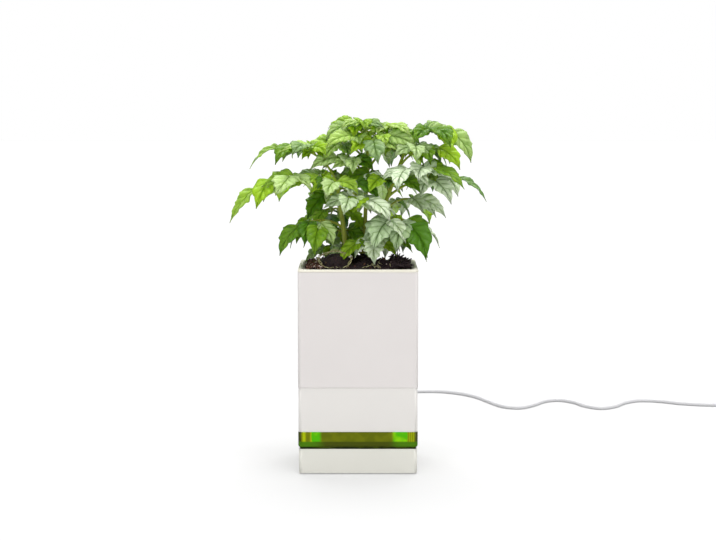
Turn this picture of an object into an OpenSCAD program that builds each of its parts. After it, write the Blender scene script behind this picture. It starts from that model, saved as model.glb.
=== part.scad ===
// Self-watering planter on a powered base, with the plant that grows in it.
// The pot lifts off a water tank, and the tank lifts off the base.
// Frame: +Z up, the front faces -Y, and the origin is the centre of the
// anti-slip pad's underside, on the table.

/* [Pot] */
// Outside width of the square pot
pot_w = 70; // [66:1:80]
// Height of the pot's side between its seat and its rim
pot_h = 67.5; // [56:0.5:90]
// Wall of the outer pot
pot_wall = 1.8; // [1.4:0.1:2]
// Floor of the outer pot
pot_floor_t = 2; // [1.5:0.1:2.5]
// Radius of the upright corners
corner_r = 2.2; // [1.6:0.1:3]
// Small round along the moulded edges
edge_r = 0.5; // [0.3:0.1:0.8]
// Width of the flat rim round the soil
rim_w = 3.5; // [3.2:0.1:4.5]
// Thickness of the rim
rim_t = 1.5; // [1:0.1:2.5]
// Corner radius of the planting hole
hole_r = 7; // [5:0.5:9]
// Depth of the spigot that drops into the collar
spigot_h = 6; // [4:0.5:8]
// Wall of the spigot
spigot_wall = 1.6; // [1.2:0.1:2]

/* [Soil well] */
// Width of the well that dips into the water
well_w = 40; // [34:1:42]
// Gap between the well and the tank's front and back walls
well_gap = 1.7; // [1.2:0.1:4]
// Wall of the well
well_wall = 1.4; // [1:0.1:1.8]
// Corner radius of the well
well_r = 4; // [3:0.5:5]
// Width of the flange that the well hangs from
well_flange = 2; // [1.5:0.1:2]
// Width of one slot in the well's side
slot_w = 2; // [1.5:0.1:2.5]
// Height of the slots
slot_h = 20; // [12:1:22]
// Slots in the front and in the back of the well
slots_front = 5; // [3:1:6]
// Slots in each side of the well
slots_side = 7; // [4:1:8]
// Thickness of the felt on the well's floor
felt_t = 2; // [1:0.5:3]

/* [Tank] */
// Height of the green band
band_h = 10; // [9:0.5:14]
// Wall of the tray's skirt
skirt_wall = 2.2; // [1.8:0.1:2.6]
// Height of the lip that stands up inside the collar
lip_h = 3; // [2.6:0.1:4]
// Thickness of the lip
lip_t = 1.8; // [1.6:0.1:2.2]
// Thickness of the tray's floor
tray_floor_t = 2; // [1.5:0.1:2.5]
// Height of the recessed foot that the tray stands on
foot_h = 1.3; // [0.9:0.1:1.5]
// Setback of the foot behind the tray's sides
foot_inset = 1; // [0.6:0.1:1.2]
// Round along the tray's bottom edge, above the foot
keel_r = 1.2; // [0.8:0.1:1.4]
// Height of the hollow under the tray's floor
tray_skirt = 2.3; // [2.1:0.1:2.8]
// Height of the white collar above the band
collar_h = 26; // [22:0.5:34]
// Wall of the collar
collar_wall = 2; // [1.6:0.1:2.2]
// Radius of the screw posts and bosses in the corners
post_r = 3.2; // [2.9:0.1:3.4]
// Height of the silicone seal in its groove
seal_h = 1.4; // [1:0.1:1.6]
// Depth of the seal's groove
groove_d = 0.8; // [0.6:0.1:0.9]

/* [Base] */
// Height of the base above the table
base_h = 15; // [14.5:0.5:20]
// Wall of the base
base_wall = 1.8; // [1.4:0.1:2.2]
// Height of the plinth that the tray drops over
plinth_h = 1.8; // [1.2:0.1:2]
// Thickness of the bottom plate
plate_t = 2.4; // [2:0.1:3]
// Gap between the base's skirt and the table
table_gap = 0.6; // [0.4:0.1:1]
// Width of the anti-slip pad
pad_w = 48; // [36:1:50]
// Thickness of the anti-slip pad
pad_t = 1.2; // [1:0.1:1.6]
// Gap between the circuit board and the screw bosses
board_gap = 1.3; // [0.8:0.1:2]
// Depth of the circuit board
board_d = 31; // [28:1:34]
// Thickness of the circuit board
board_t = 1.2; // [1:0.1:1.6]
// Height of the board's standoffs
standoff_h = 2; // [1.5:0.1:2.2]
// Distance of each charging socket from the middle
socket_x = 16; // [15:0.5:17]

/* [Fits] */
// Setback of the collar's sides behind the pot's
collar_inset = 0.3; // [0.1:0.1:0.6]
// Setback of the tray's sides behind the pot's
tray_inset = 0.1; // [0:0.1:0.4]
// Setback of the base's sides behind the pot's
base_inset = 0.5; // [0.2:0.1:0.8]
// Clearance each side between pieces that lift apart
slip = 0.3; // [0.2:0.05:0.4]
// Clearance each side between pieces that stay together
snug = 0.2; // [0.1:0.05:0.3]

/* [Screws] */
// Radius of the screw shanks
screw_r = 1; // [0.8:0.1:1.2]
// Radius of the screw heads
head_r = 2; // [1.8:0.1:2.2]
// Thickness of the screw heads
head_t = 1.1; // [0.9:0.1:1.3]

/* [Cord] */
// Diameter of the supply cord
cord_d = 2.8; // [2.4:0.1:3]
// Height of the cord's exit above the table
cord_exit_z = 7.6; // [7:0.1:8]
// Length of the strain relief outside the base
relief_l = 12; // [10:0.5:12]

/* [Plant] */
// Length of a leaflet
leaflet_l = 23; // [17:1:23]
// Width of a leaflet as a share of its length
leaflet_ratio = 0.52; // [0.4:0.01:0.52]
// Radius of the main stem at the soil
stem_r = 1.8; // [1.4:0.1:2]
// Radius of a leaf's stalk where it leaves the stem
stalk_r = 0.8; // [0.6:0.1:0.9]

/* [Hidden] */
// Stems, each from its foot in the soil to its top, with heights above the rim
stems = [
    [[-6, -2, -10], [-8, -2, 16], [-12, 0, 46]],
    [[5, 0, -10], [10, 3, 14], [17, 4, 38], [27, 2, 65]],
    [[2, 9, -10], [4, 12, 18], [5, 10, 46], [6, 7, 74]]];

// Compound leaves: stem, height up it, azimuth, length, elevation at its foot and at
// its tip, size of its leaflets, and how far they droop
leaves = [
    [0, 22, 208, 31, 36, -30, 0.95, -45],
    [1, 10, -88, 20, 50, -20, 0.85, -45],
    [0, 28, 104, 31, 36, -36, 0.9, -45],
    [0, 35, 180, 60, 60, -40, 1.1, -28],
    [0, 41, -98, 18, 60, -1, 0.9, -50],
    [0, 31, -48, 27, 50, -12, 0.95, -45],
    [0, 44.5, 172, 50, 80, -12, 1, -50],
    [0, 38.5, 110, 34, 62, -10, 0.85, -40],
    [2, 51, 208, 25, 62, 2, 0.85, -50],
    [1, 22, -50, 28, 34, -26, 1.1, -50],
    [1, 12, 40, 32, 34, -30, 0.82, -42],
    [1, 40, 4, 46, 42, -14, 1, -50],
    [1, 47, -36, 34, 48, -10, 1.05, -40],
    [1, 42, -108, 21, 64, -4, 0.8, -45],
    [1, 30, 50, 36, 40, -20, 0.95, -50],
    [1, 63, 0, 38, 80, -25, 1, -62],
    [2, 14, 88, 32, 35, -35, 0.85, -50],
    [2, 40, 76, 42, 48, -28, 0.95, -45],
    [2, 35, 136, 42, 44, -28, 0.95, -45],
    [2, 60, 158, 30, 58, -3, 0.82, -50],
    [2, 73, 200, 15, 72, 6, 0.85, -65],
    [2, 64, -80, 24, 66, -14, 0.95, -50],
    [2, 62, 64, 24, 79, -6, 0.72, -45],
    [2, 68, 12, 24, 74, -9, 0.85, -60],
    [2, 54, 48, 42, 58, -20, 0.95, -50],
    [0, 13.5, 103, 23, 50, -25, 0.85, -61],
    [2, 5, 178, 24, 38, -19, 0.69, -31],
    [1, 18.5, 89, 28, 39, -20, 0.7, -13],
    [1, 56.5, -30, 32, 59, -9, 0.85, -67]];

$fn = 48;
// Cuts reach past the faces that they open by this much
over = 1;

// Levels, from the table up
plate_top = table_gap + plate_t;
collar_z = base_h + band_h;
pot_z = collar_z + collar_h;
rim_z = pot_z + pot_h;
top_z = rim_z + rim_t;
tray_floor_top = base_h + tray_skirt + tray_floor_t;

// Widths
base_w = pot_w - 2*base_inset;
tray_w = pot_w - 2*tray_inset;
collar_w = pot_w - 2*collar_inset;
skirt_in = tray_w - 2*skirt_wall;
collar_in = collar_w - 2*collar_wall;
lip_w = collar_in - 2*snug;
tank_in = lip_w - 2*lip_t;
hole_w = pot_w - 2*rim_w;
liner_w = pot_w - 2*pot_wall - 2*snug;
spigot_w = collar_in - 2*slip;
plinth_w = skirt_in - 2*slip;
base_in = base_w - 2*base_wall;
well_d = tank_in - 2*well_gap;

// ---- shared shapes ----

// Square with round corners, centred
module round_square(w, d, r) {
    square([w - 2*r, d], center = true);
    square([w, d - 2*r], center = true);
    for (x = [-1, 1], y = [-1, 1])
        translate([x*(w/2 - r), y*(d/2 - r)]) circle(r);
}

// Upright prism on a round square, from z0 to z1
module prism(w, d, r, z0, z1) {
    translate([0, 0, z0]) linear_extrude(z1 - z0) round_square(w, d, r);
}

// Moulded block: round upright corners and a small round on its top and bottom edges
module moulded(w, r, z0, z1, edge = edge_r) {
    intersection() {
        prism(w, w, r, z0, z1);
        moulded_profile(w, z0, z1, edge, 0);
        moulded_profile(w, z0, z1, edge, 90);
    }
}

module moulded_profile(w, z0, z1, edge, turn) {
    translate([0, 0, (z0 + z1)/2]) rotate([90, 0, turn])
        linear_extrude(w + 2*over, center = true) round_square(w, z1 - z0, edge);
}

// Copies at the four corners of a square with this half width
module corners(half) {
    for (turn = [0:90:270]) rotate([0, 0, turn]) translate([half, half, 0]) children();
}

// Screw post that fills the corner behind it, for corners()
module corner_post(z0, z1) {
    translate([0, 0, z0]) linear_extrude(z1 - z0) {
        circle(post_r);
        square(post_r + 0.5);
    }
}

// Screw with its head at the bottom, z0 to z1 along +Z
module screw(z0, z1) {
    translate([0, 0, z0]) cylinder(h = head_t, r = head_r);
    translate([0, 0, z0]) cylinder(h = z1 - z0, r = screw_r);
}

// ---- base ----

pad_seat = pad_t - table_gap;
boss_x = base_in/2 - post_r;
bore_r = screw_r + 0.05;
head_room = 0.3;
plate_w = base_in - 2*snug;
board_y = base_w/2 - base_wall - snug - board_d/2;
board_w = 2*(boss_x - post_r - board_gap);
board_z = plate_top + standoff_h;
board_top = board_z + board_t;
standoffs = [[-20, board_y - 10], [20, board_y - 10], [0, board_y + 4]];
standoff_r = 2.4;

module anti_slip_pad() {
    color([0.55, 0.56, 0.56]) prism(pad_w, pad_w, 4, 0, pad_t);
}

module base_plate() {
    color([0.86, 0.86, 0.84]) difference() {
        union() {
            prism(plate_w, plate_w, corner_r, table_gap, plate_top);
            for (p = standoffs)
                translate([p[0], p[1], plate_top]) cylinder(h = standoff_h, r = standoff_r);
        }
        prism(pad_w + 2*snug, pad_w + 2*snug, 4 + snug, table_gap - over, table_gap + pad_seat);
        corners(boss_x) {
            translate([0, 0, table_gap - over]) cylinder(h = plate_t + 2*over, r = screw_r + snug);
            translate([0, 0, table_gap - over])
                cylinder(h = over + head_t + head_room, r = head_r + snug);
        }
        for (p = standoffs)
            translate([p[0], p[1], plate_top]) cylinder(h = standoff_h + over, r = bore_r);
    }
}

// Charging socket and the rear window that it shows through
socket_w = 13.2;
socket_h = 5.8;
socket_l = 14;
socket_t = 0.4;
window_gap = 0.2;
rear_y = base_w/2;
relief_r = 3;
relief_flange_r = 3.8;
relief_flange_t = 1;

module base_housing() {
    cavity_top = base_h - base_wall;
    color([0.93, 0.93, 0.91]) difference() {
        union() {
            difference() {
                union() {
                    moulded(base_w, corner_r, table_gap, base_h);
                    prism(plinth_w, plinth_w, corner_r, base_h - over, base_h + plinth_h);
                }
                prism(base_in, base_in, corner_r, table_gap - over, cavity_top);
                prism(plinth_w - 2*base_wall, plinth_w - 2*base_wall, corner_r,
                      cavity_top - over, base_h + plinth_h - base_wall);
            }
            corners(boss_x) corner_post(plate_top, cavity_top + base_wall/2);
        }
        corners(boss_x) translate([0, 0, plate_top - over])
            cylinder(h = over + cavity_top - plate_top - 1, r = bore_r);
        for (x = [-1, 1]) translate([x*socket_x, rear_y, board_top + socket_h/2])
            cube([socket_w + 2*window_gap, 2*base_wall + 2*over, socket_h + 2*window_gap],
                 center = true);
        translate([0, rear_y, cord_exit_z]) rotate([90, 0, 0])
            cylinder(h = 2*base_wall + 2*over, r = relief_r + 0.1, center = true);
    }
}

module circuit_board() {
    color([0.1, 0.42, 0.25]) difference() {
        translate([-board_w/2, board_y - board_d/2, board_z]) cube([board_w, board_d, board_t]);
        for (p = standoffs)
            translate([p[0], p[1], board_z - over]) cylinder(h = board_t + 2*over, r = screw_r + snug);
        // Notch for the strain relief's flange
        translate([-relief_flange_r - slip, board_y + board_d/2 - relief_flange_t - slip, board_z - over])
            cube([2*(relief_flange_r + slip), relief_flange_t + slip + over, board_t + 2*over]);
    }
}

module board_screws() {
    color([0.7, 0.7, 0.72]) for (p = standoffs) translate([p[0], p[1], 0]) {
        translate([0, 0, board_top]) cylinder(h = head_t, r = head_r);
        translate([0, 0, plate_top + 0.3]) cylinder(h = board_top - plate_top, r = screw_r);
    }
}

// Coil, two can capacitors and the charge controller, soldered on the board
module power_components() {
    color([0.25, 0.25, 0.27]) translate([0, board_y, board_top]) {
        translate([-6, -8, 0]) cylinder(h = 3.6, r = 3.2);
        for (y = [-11, -4]) translate([4, y, 0]) cylinder(h = 5, r = 2.4);
        for (x = [-15, 10]) translate([x, -2.5, 0]) cube([5, 4, 1.4]);
    }
}

module charging_sockets() {
    tongue_t = 1.8;
    back_t = 3;
    color([0.78, 0.78, 0.8]) for (x = [-1, 1])
        translate([x*socket_x, rear_y - socket_l, board_top]) difference() {
            translate([-socket_w/2, 0, 0]) cube([socket_w, socket_l, socket_h]);
            difference() {
                translate([-socket_w/2 + socket_t, back_t, socket_t])
                    cube([socket_w - 2*socket_t, socket_l, socket_h - 2*socket_t]);
                translate([-socket_w/2 + 1, 0, socket_h - socket_t - 0.9 - tongue_t])
                    cube([socket_w - 2, socket_l - 1.5, tongue_t]);
            }
        }
}

module plate_screws() {
    color([0.7, 0.7, 0.72]) corners(boss_x) screw(table_gap + head_room, plate_top + 7);
}

// Flange inside the wall, neck through it and a grooved taper over the cord
module strain_relief() {
    inside = base_wall + snug;
    color([0.9, 0.9, 0.89]) translate([0, rear_y, cord_exit_z]) rotate([-90, 0, 0]) difference() {
        rotate_extrude() polygon([
            [0, -inside - relief_flange_t], [relief_flange_r, -inside - relief_flange_t],
            [relief_flange_r, -inside], [relief_r, -inside], [relief_r, 1],
            [relief_r - 0.3, 2.5], [cord_d/2 + 0.7, relief_l - 0.6],
            [cord_d/2 + 0.5, relief_l], [0, relief_l]]);
        for (z = [3.5:2:relief_l - 2]) rotate_extrude()
            translate([cord_d/2 + 0.4, z]) square([relief_r, 0.8]);
    }
}

// ---- cord ----

cord_z = cord_d/2;
cord_start = [0, rear_y + relief_l, cord_exit_z];
coil_at = [292, 231];
coil_turns = 3;
coil_in = 11.2;
coil_out = coil_in + coil_turns*cord_d;
// Stretch from the strain relief to the coil, along the table
route = [
    cord_start, [0, 53, 7.4], [0, 62, 5.4], [-1, 73, 2.5], [-2, 86, cord_z],
    [-4, 106, cord_z], [-6, 130, cord_z], [-6, 155, cord_z], [-4, 180, cord_z],
    [0, 204, cord_z], [6, 228, cord_z], [15, 250, cord_z], [29, 266, cord_z],
    [46, 273, cord_z], [62, 272, cord_z], [76, 262, cord_z], [87, 245, cord_z],
    [95, 222, cord_z], [103, 203, cord_z], [114, 198, cord_z], [125, 210, cord_z],
    [134, 226, cord_z], [145, 232, cord_z], [155, 222, cord_z], [161, 206, cord_z],
    [171, 196, cord_z], [182, 204, cord_z], [191, 220, cord_z], [203, 230, cord_z],
    [217, 227, cord_z], [231, 217, cord_z], [248, 211, cord_z],
    [266, coil_at[1] - coil_out - 0.3, cord_z], [282, coil_at[1] - coil_out, cord_z]];
grip_w = 15;
grip_h = 7.4;
grip_l = 22;
plug_at = [coil_at[0] + coil_out - 2, 274, grip_h/2];
// Stretch from the coil's top turn to the plug
tail = [
    [coil_at[0] + coil_out, coil_at[1] + 8, 1.5*cord_d], [coil_at[0] + coil_out, 248, 2.9],
    [coil_at[0] + coil_out - 1, 258, cord_z + 0.2], [plug_at[0], 266, 2.8],
    [plug_at[0], 270.5, grip_h/2 - 0.05], plug_at];

// Point at share t of the way from b to c, on a smooth curve through a, b, c and d
function smooth_point(a, b, c, d, t) =
    0.5*(2*b + (c - a)*t + (2*a - 5*b + 4*c - d)*t*t + (3*b - a - 3*c + d)*t*t*t);
function clamp_index(points, i) = points[max(0, min(len(points) - 1, i))];
function smooth(points, steps) = concat(
    [for (i = [0:len(points) - 2], s = [0:steps - 1])
        smooth_point(clamp_index(points, i - 1), points[i], points[i + 1],
                     clamp_index(points, i + 2), s/steps)],
    [points[len(points) - 1]]);
function unit(v) = v/norm(v);

// Tube with a radius of its own at each point of a path, closed at both ends
module tube(path, radii, sides) {
    last = len(path) - 1;
    rings = [for (i = [0:last])
        let (along = unit(clamp_index(path, i + 1) - clamp_index(path, i - 1)),
             flat = abs(along[2]) > 0.95 ? [1, 0, 0] : [0, 0, 1],
             side = unit(cross(flat, along)), up = cross(along, side))
        for (k = [0:sides - 1])
            path[i] + radii[i]*(cos(360*(k + 0.5)/sides)*side + sin(360*(k + 0.5)/sides)*up)];
    polyhedron(points = rings, faces = concat(
        [[for (k = [0:sides - 1]) k]],
        [[for (k = [sides - 1:-1:0]) last*sides + k]],
        [for (i = [0:last - 1], k = [0:sides - 1], half = [0, 1])
            let (a = i*sides + k, b = i*sides + (k + 1) % sides)
            half == 0 ? [a, a + sides, b] : [b, a + sides, b + sides]]));
}

module cord_stretch(points, steps) {
    path = [for (p = smooth(points, steps)) [p[0], p[1], max(p[2], cord_z)]];
    tube(path, [for (p = path) cord_d/2/cos(180/8)], 8);
}

module supply_cord() {
    color([0.85, 0.85, 0.85]) {
        cord_stretch(route, 2);
        cord_stretch(tail, 2);
    }
}

module cord_coil() {
    color([0.85, 0.85, 0.85]) translate([coil_at[0], coil_at[1], 0]) rotate_extrude()
        translate([coil_in - cord_d/2, 0]) square([coil_out - coil_in + cord_d, 2*cord_d]);
}

shell_w = 12;
shell_h = 4.5;
shell_l = 12;
shell_root = 3;
shell_t = 0.4;

// Grip with stepped shoulders and a collar over the cord
module plug_grip() {
    color([0.9, 0.9, 0.9]) difference() {
        translate(plug_at) rotate([-90, 0, 0]) {
            translate([0, 0, 6]) linear_extrude(grip_l - 6) round_square(grip_w, grip_h, 2);
            translate([0, 0, 3]) linear_extrude(3.5) round_square(grip_w - 4, grip_h - 2, 2);
            rotate_extrude() polygon([[0, 0], [1.9, 0], [2.6, 3.5], [0, 3.5]]);
        }
        translate(plug_at + [0, grip_l, 0])
            cube([shell_w + 0.1, 2*shell_root, shell_h + 0.1], center = true);
    }
}

// Metal shell, with its contact block in the lower half
module plug_shell() {
    color([0.78, 0.78, 0.8])
        translate(plug_at + [-shell_w/2, grip_l - shell_root, -shell_h/2]) difference() {
            cube([shell_w, shell_l + shell_root, shell_h]);
            translate([shell_t, shell_root, shell_h/2])
                cube([shell_w - 2*shell_t, shell_l + over, shell_h/2 - shell_t]);
        }
}

// ---- tank ----

post_x = skirt_in/2 - post_r;
groove_z = collar_z + 0.8;
lip_top = collar_z + lip_h;
collar_boss_h = 6;
seal_fit = 0.05;

// Tray's outer form: a foot set back, and a wider round on the edge above it
module tray_body() {
    foot_w = tray_w - 2*foot_inset;
    prism(foot_w, foot_w, corner_r - foot_inset, base_h, base_h + foot_h + over);
    intersection() {
        moulded(tray_w, corner_r, base_h, collar_z);
        moulded(tray_w, corner_r, base_h + foot_h, collar_z + 2*keel_r, keel_r);
    }
}

module water_tray() {
    color([0.45, 0.6, 0.1, 0.7]) difference() {
        union() {
            tray_body();
            prism(lip_w, lip_w, corner_r, collar_z - over, lip_top);
        }
        prism(skirt_in, skirt_in, corner_r, base_h - over, base_h + tray_skirt);
        difference() {
            prism(tank_in, tank_in, corner_r, tray_floor_top, lip_top + over);
            corners(post_x) corner_post(tray_floor_top - over, lip_top);
        }
        difference() {
            prism(lip_w + 2*over, lip_w + 2*over, corner_r, groove_z, groove_z + seal_h);
            prism(lip_w - 2*groove_d, lip_w - 2*groove_d, corner_r, groove_z - over, lip_top + over);
        }
        corners(post_x) {
            translate([0, 0, base_h]) cylinder(h = lip_top - base_h + over, r = screw_r + snug);
            translate([0, 0, base_h]) cylinder(h = tray_skirt + head_t, r = head_r + snug);
        }
    }
}

module tank_seal() {
    seal_w = collar_in - 2*seal_fit;
    seal_in = lip_w - 2*groove_d + 2*seal_fit;
    color([0.8, 0.82, 0.8]) difference() {
        prism(seal_w, seal_w, corner_r, groove_z, groove_z + seal_h);
        prism(seal_in, seal_in, corner_r, groove_z - over, groove_z + seal_h + over);
    }
}

module tank_collar() {
    color([0.93, 0.93, 0.91]) difference() {
        union() {
            difference() {
                moulded(collar_w, corner_r, collar_z, pot_z);
                prism(collar_in, collar_in, corner_r, collar_z - over, pot_z + over);
            }
            corners(post_x) corner_post(lip_top, lip_top + collar_boss_h);
        }
        corners(post_x) translate([0, 0, lip_top - over])
            cylinder(h = over + collar_boss_h - 1, r = bore_r);
    }
}

module tank_screws() {
    color([0.7, 0.7, 0.72]) corners(post_x) screw(base_h + tray_skirt, lip_top + collar_boss_h - 2);
}

// ---- pot ----

well_hole_w = well_w + 2*slip;
well_hole_d = well_d + 2*slip;
liner_floor = pot_z + pot_floor_t;
liner_floor_t = 1.5;
well_top = liner_floor + liner_floor_t;
well_bottom = tray_floor_top + slip;
well_flange_t = 1.2;
well_in_w = well_w - 2*well_wall;
well_in_d = well_d - 2*well_wall;

module pot_shell() {
    inside = pot_w - 2*pot_wall;
    color([0.93, 0.93, 0.92]) difference() {
        union() {
            moulded(pot_w, corner_r, pot_z, rim_z);
            prism(spigot_w, spigot_w, corner_r, pot_z - spigot_h, pot_z + over);
        }
        prism(inside, inside, corner_r, pot_z + pot_floor_t, rim_z + over);
        prism(spigot_w - 2*spigot_wall, spigot_w - 2*spigot_wall, corner_r,
              pot_z - spigot_h - over, pot_z);
        prism(well_hole_w, well_hole_d, well_r, pot_z - over, pot_z + pot_floor_t + over);
    }
}

module pot_liner() {
    color([0.93, 0.92, 0.86]) difference() {
        union() {
            prism(liner_w, liner_w, corner_r, liner_floor, rim_z + over/2);
            moulded(pot_w, corner_r, rim_z, top_z);
        }
        prism(hole_w, hole_w, hole_r, well_top, top_z + over);
        prism(well_hole_w, well_hole_d, well_r, liner_floor - over, well_top + over);
    }
}

// Row of slots through the well along X, spread over the given width
module slot_row(count, width, depth) {
    pitch = width/count;
    for (i = [0:count - 1])
        translate([(i - (count - 1)/2)*pitch - slot_w/2, -depth/2 - over, 0])
            cube([slot_w, depth + 2*over, slot_h]);
}

module soil_well() {
    color([0.28, 0.3, 0.2]) difference() {
        union() {
            prism(well_w, well_d, well_r, well_bottom, well_top + well_flange_t);
            prism(well_w + 2*well_flange, well_d + 2*well_flange, well_r,
                  well_top, well_top + well_flange_t);
        }
        prism(well_in_w, well_in_d, well_r - 1, well_bottom + well_wall, well_top + 3);
        translate([0, 0, well_bottom + well_wall]) {
            slot_row(slots_front, well_w - 2*well_r, well_d);
            rotate([0, 0, 90]) slot_row(slots_side, well_d - 2*well_r, well_w);
        }
    }
}

module wick_felt() {
    felt_z = well_bottom + well_wall;
    color([0.85, 0.85, 0.8])
        prism(well_in_w - 2*snug, well_in_d - 2*snug, well_r - 1, felt_z, felt_z + felt_t);
}

soil_crown = 1;
soil_dome_r = 320;
soil_gap = 0.3;

module potting_soil() {
    color([0.16, 0.11, 0.09]) intersection() {
        union() {
            prism(hole_w - 2*soil_gap, hole_w - 2*soil_gap, hole_r,
                  well_top + well_flange_t + soil_gap, top_z + 5);
            prism(well_in_w - 2*soil_gap, well_in_d - 2*soil_gap, well_r - 1,
                  well_bottom + well_wall + felt_t + soil_gap, well_top + 3);
        }
        translate([0, 0, top_z + soil_crown - soil_dome_r]) sphere(soil_dome_r, $fn = 360);
    }
}

// ---- plant ----

// Direction of azimuth az and elevation el
function heading(az, el) = [cos(el)*cos(az), cos(el)*sin(az), sin(el)];

// Point at share t along an arc that starts at p and bends from elevation e0 to e1
function arc_point(p, az, e0, e1, len, t) =
    let (bend = (e1 - e0)*PI/180, e = e0 + (e1 - e0)*t)
    p + len/bend*((sin(e) - sin(e0))*[cos(az), sin(az), 0] + [0, 0, cos(e0) - cos(e)]);

// Stations along a leaflet: share of its length, and half width as a share of the widest
blade = [[0.12, 0.66], [0.34, 1], [0.62, 0.64], [0.86, 0.2]];
blade_t = 0.7;
blade_fold = 22;
// Leaflets turn their upper side to the front by up to this much, and vary by the spread
face_turn = 30;
turn_spread = 14;

// Uneven growth: a number from -1 to 1 that differs from leaflet to leaflet
function growth(k) = sin(137.5*k*k + 61*k);

// Thin blade folded along its midrib, with a long tip
module leaflet(p, az, e0, e1, len, k) {
    roll = turn_spread*growth(k) - face_turn*cos(az);
    level = [-sin(az), cos(az), 0];
    half = leaflet_ratio*len/2;
    count = len(blade);
    ring = [for (s = blade)
        let (mid = arc_point(p, az, e0, e1, len, s[0]), rise = heading(az, e0 + (e1 - e0)*s[0] + 90),
             side = cos(roll)*level - sin(roll)*rise, up = cos(roll)*rise + sin(roll)*level)
        each [mid + half*s[1]*(cos(blade_fold)*side + sin(blade_fold)*up), mid + up*blade_t/2,
              mid + half*s[1]*(-cos(blade_fold)*side + sin(blade_fold)*up), mid - up*blade_t/2]];
    foot = 4*count;
    tip = foot + 1;
    polyhedron(points = concat(ring, [p, arc_point(p, az, e0, e1, len, 1)]), faces = concat(
        [for (k = [0:3]) [foot, k, (k + 1) % 4]],
        [for (i = [0:count - 2], k = [0:3], h = [0, 1])
            let (a = 4*i + k, b = 4*i + (k + 1) % 4)
            h == 0 ? [a, a + 4, b] : [b, a + 4, b + 4]],
        [for (k = [0:3]) let (a = 4*(count - 1)) [a + k, tip, a + (k + 1) % 4]]));
}

// Point on a stem at a given height
function stem_point(stem, z, i = 0) =
    i >= len(stem) - 2 || z < stem[i + 1][2]
        ? stem[i] + (stem[i + 1] - stem[i])*(z - stem[i][2])/(stem[i + 1][2] - stem[i][2])
        : stem_point(stem, z, i + 1);

// Stalk that bends from e0 to e1, with leaflet pairs, side stalks and a leaflet at its tip
module compound_leaf(i) {
    leaf = leaves[i];
    foot = stem_point(stems[leaf[0]], leaf[1]);
    az = leaf[2];
    len = leaf[3];
    e0 = leaf[4];
    e1 = leaf[5];
    size = leaf[6]*leaflet_l;
    droop = leaf[7];
    shares = [0, 0.2, 0.4, 0.6, 0.8, 1];
    tube([for (t = shares) arc_point(foot, az, e0, e1, len, t)],
         [for (t = shares) stalk_r*(1 - 0.45*t)], 4);
    leaflet(arc_point(foot, az, e0, e1, len, 0.98), az + 8*growth(i), e1, e1 + droop, size, 9*i);
    for (s = [-1, 1]) {
        k = 7*i + 3*s;
        // Single leaflet near the tip
        leaflet(arc_point(foot, az, e0, e1, len, 0.78 + 0.03*growth(k)), az + (60 + 8*growth(k + 1))*s,
                e0 + (e1 - e0)*0.8, e1 + droop + 10*growth(k + 2), 0.92*size, 9*i + s + 2);
        // Side stalk with three leaflets
        at = arc_point(foot, az, e0, e1, len, 0.5);
        out = az + (64 + 8*growth(k + 3))*s;
        rise = (e0 + e1)/2 + 8*growth(k + 4);
        side_l = 0.55*size;
        tube([for (t = [0, 0.5, 1]) arc_point(at, out, rise, rise - 30, side_l, t)],
             [0.5, 0.45, 0.4], 4);
        leaflet(arc_point(at, out, rise, rise - 30, side_l, 0.96), out + 6*growth(k + 5),
                rise - 25, rise - 30 + droop, 0.95*size, 9*i + s + 4);
        for (turn = [-1, 1])
            leaflet(arc_point(at, out, rise, rise - 30, side_l, 0.6), out + (62 + 6*growth(k + turn))*turn,
                    rise - 20, rise - 30 + droop + 8*growth(k + 6 + turn), 0.8*size,
                    9*i + 2*s + turn + 6);
    }
}

module plant_stems() {
    color([0.42, 0.5, 0.16]) translate([0, 0, top_z]) for (i = [0:len(stems) - 1]) {
        path = smooth(stems[i], 2);
        last = len(path) - 1;
        foot_r = i == 0 ? stem_r : 0.8*stem_r;
        tube(path, [for (k = [0:last]) foot_r*(1 - 0.35*k/last)], 6);
    }
}

module one_leaf(i) {
    color([0.28, 0.52, 0.12]) translate([0, 0, top_z]) union() compound_leaf(i);
}

anti_slip_pad();
base_plate();
base_housing();
circuit_board();
power_components();
charging_sockets();
board_screws();
plate_screws();
strain_relief();
supply_cord();
cord_coil();
plug_grip();
plug_shell();
water_tray();
tank_seal();
tank_collar();
tank_screws();
pot_shell();
pot_liner();
soil_well();
wick_felt();
potting_soil();
plant_stems();
for (i = [0:len(leaves) - 1])
    one_leaf(i);
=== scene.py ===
"""Self-watering planter on a powered base, with its cord and the plant that grows in it.

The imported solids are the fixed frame, and every piece here sits where its solid is."""
import math
import random

import bmesh
import bpy
from mathutils import Matrix, Vector, noise


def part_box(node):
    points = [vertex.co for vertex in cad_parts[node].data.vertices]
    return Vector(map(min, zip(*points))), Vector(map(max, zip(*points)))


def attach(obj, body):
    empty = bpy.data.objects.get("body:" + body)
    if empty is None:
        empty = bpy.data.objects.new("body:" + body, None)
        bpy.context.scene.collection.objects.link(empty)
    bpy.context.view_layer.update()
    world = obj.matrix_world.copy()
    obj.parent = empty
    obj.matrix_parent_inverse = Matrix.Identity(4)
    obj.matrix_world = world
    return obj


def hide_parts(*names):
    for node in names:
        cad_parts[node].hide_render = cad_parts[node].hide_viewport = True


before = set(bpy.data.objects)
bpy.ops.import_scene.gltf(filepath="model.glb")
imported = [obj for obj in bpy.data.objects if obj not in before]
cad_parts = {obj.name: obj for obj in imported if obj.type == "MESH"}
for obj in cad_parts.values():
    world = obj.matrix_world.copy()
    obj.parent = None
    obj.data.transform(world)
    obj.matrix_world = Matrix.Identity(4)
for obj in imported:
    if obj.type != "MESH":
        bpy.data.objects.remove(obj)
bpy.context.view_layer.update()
scene = bpy.context.scene
scene.view_settings.view_transform = "Standard"


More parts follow.
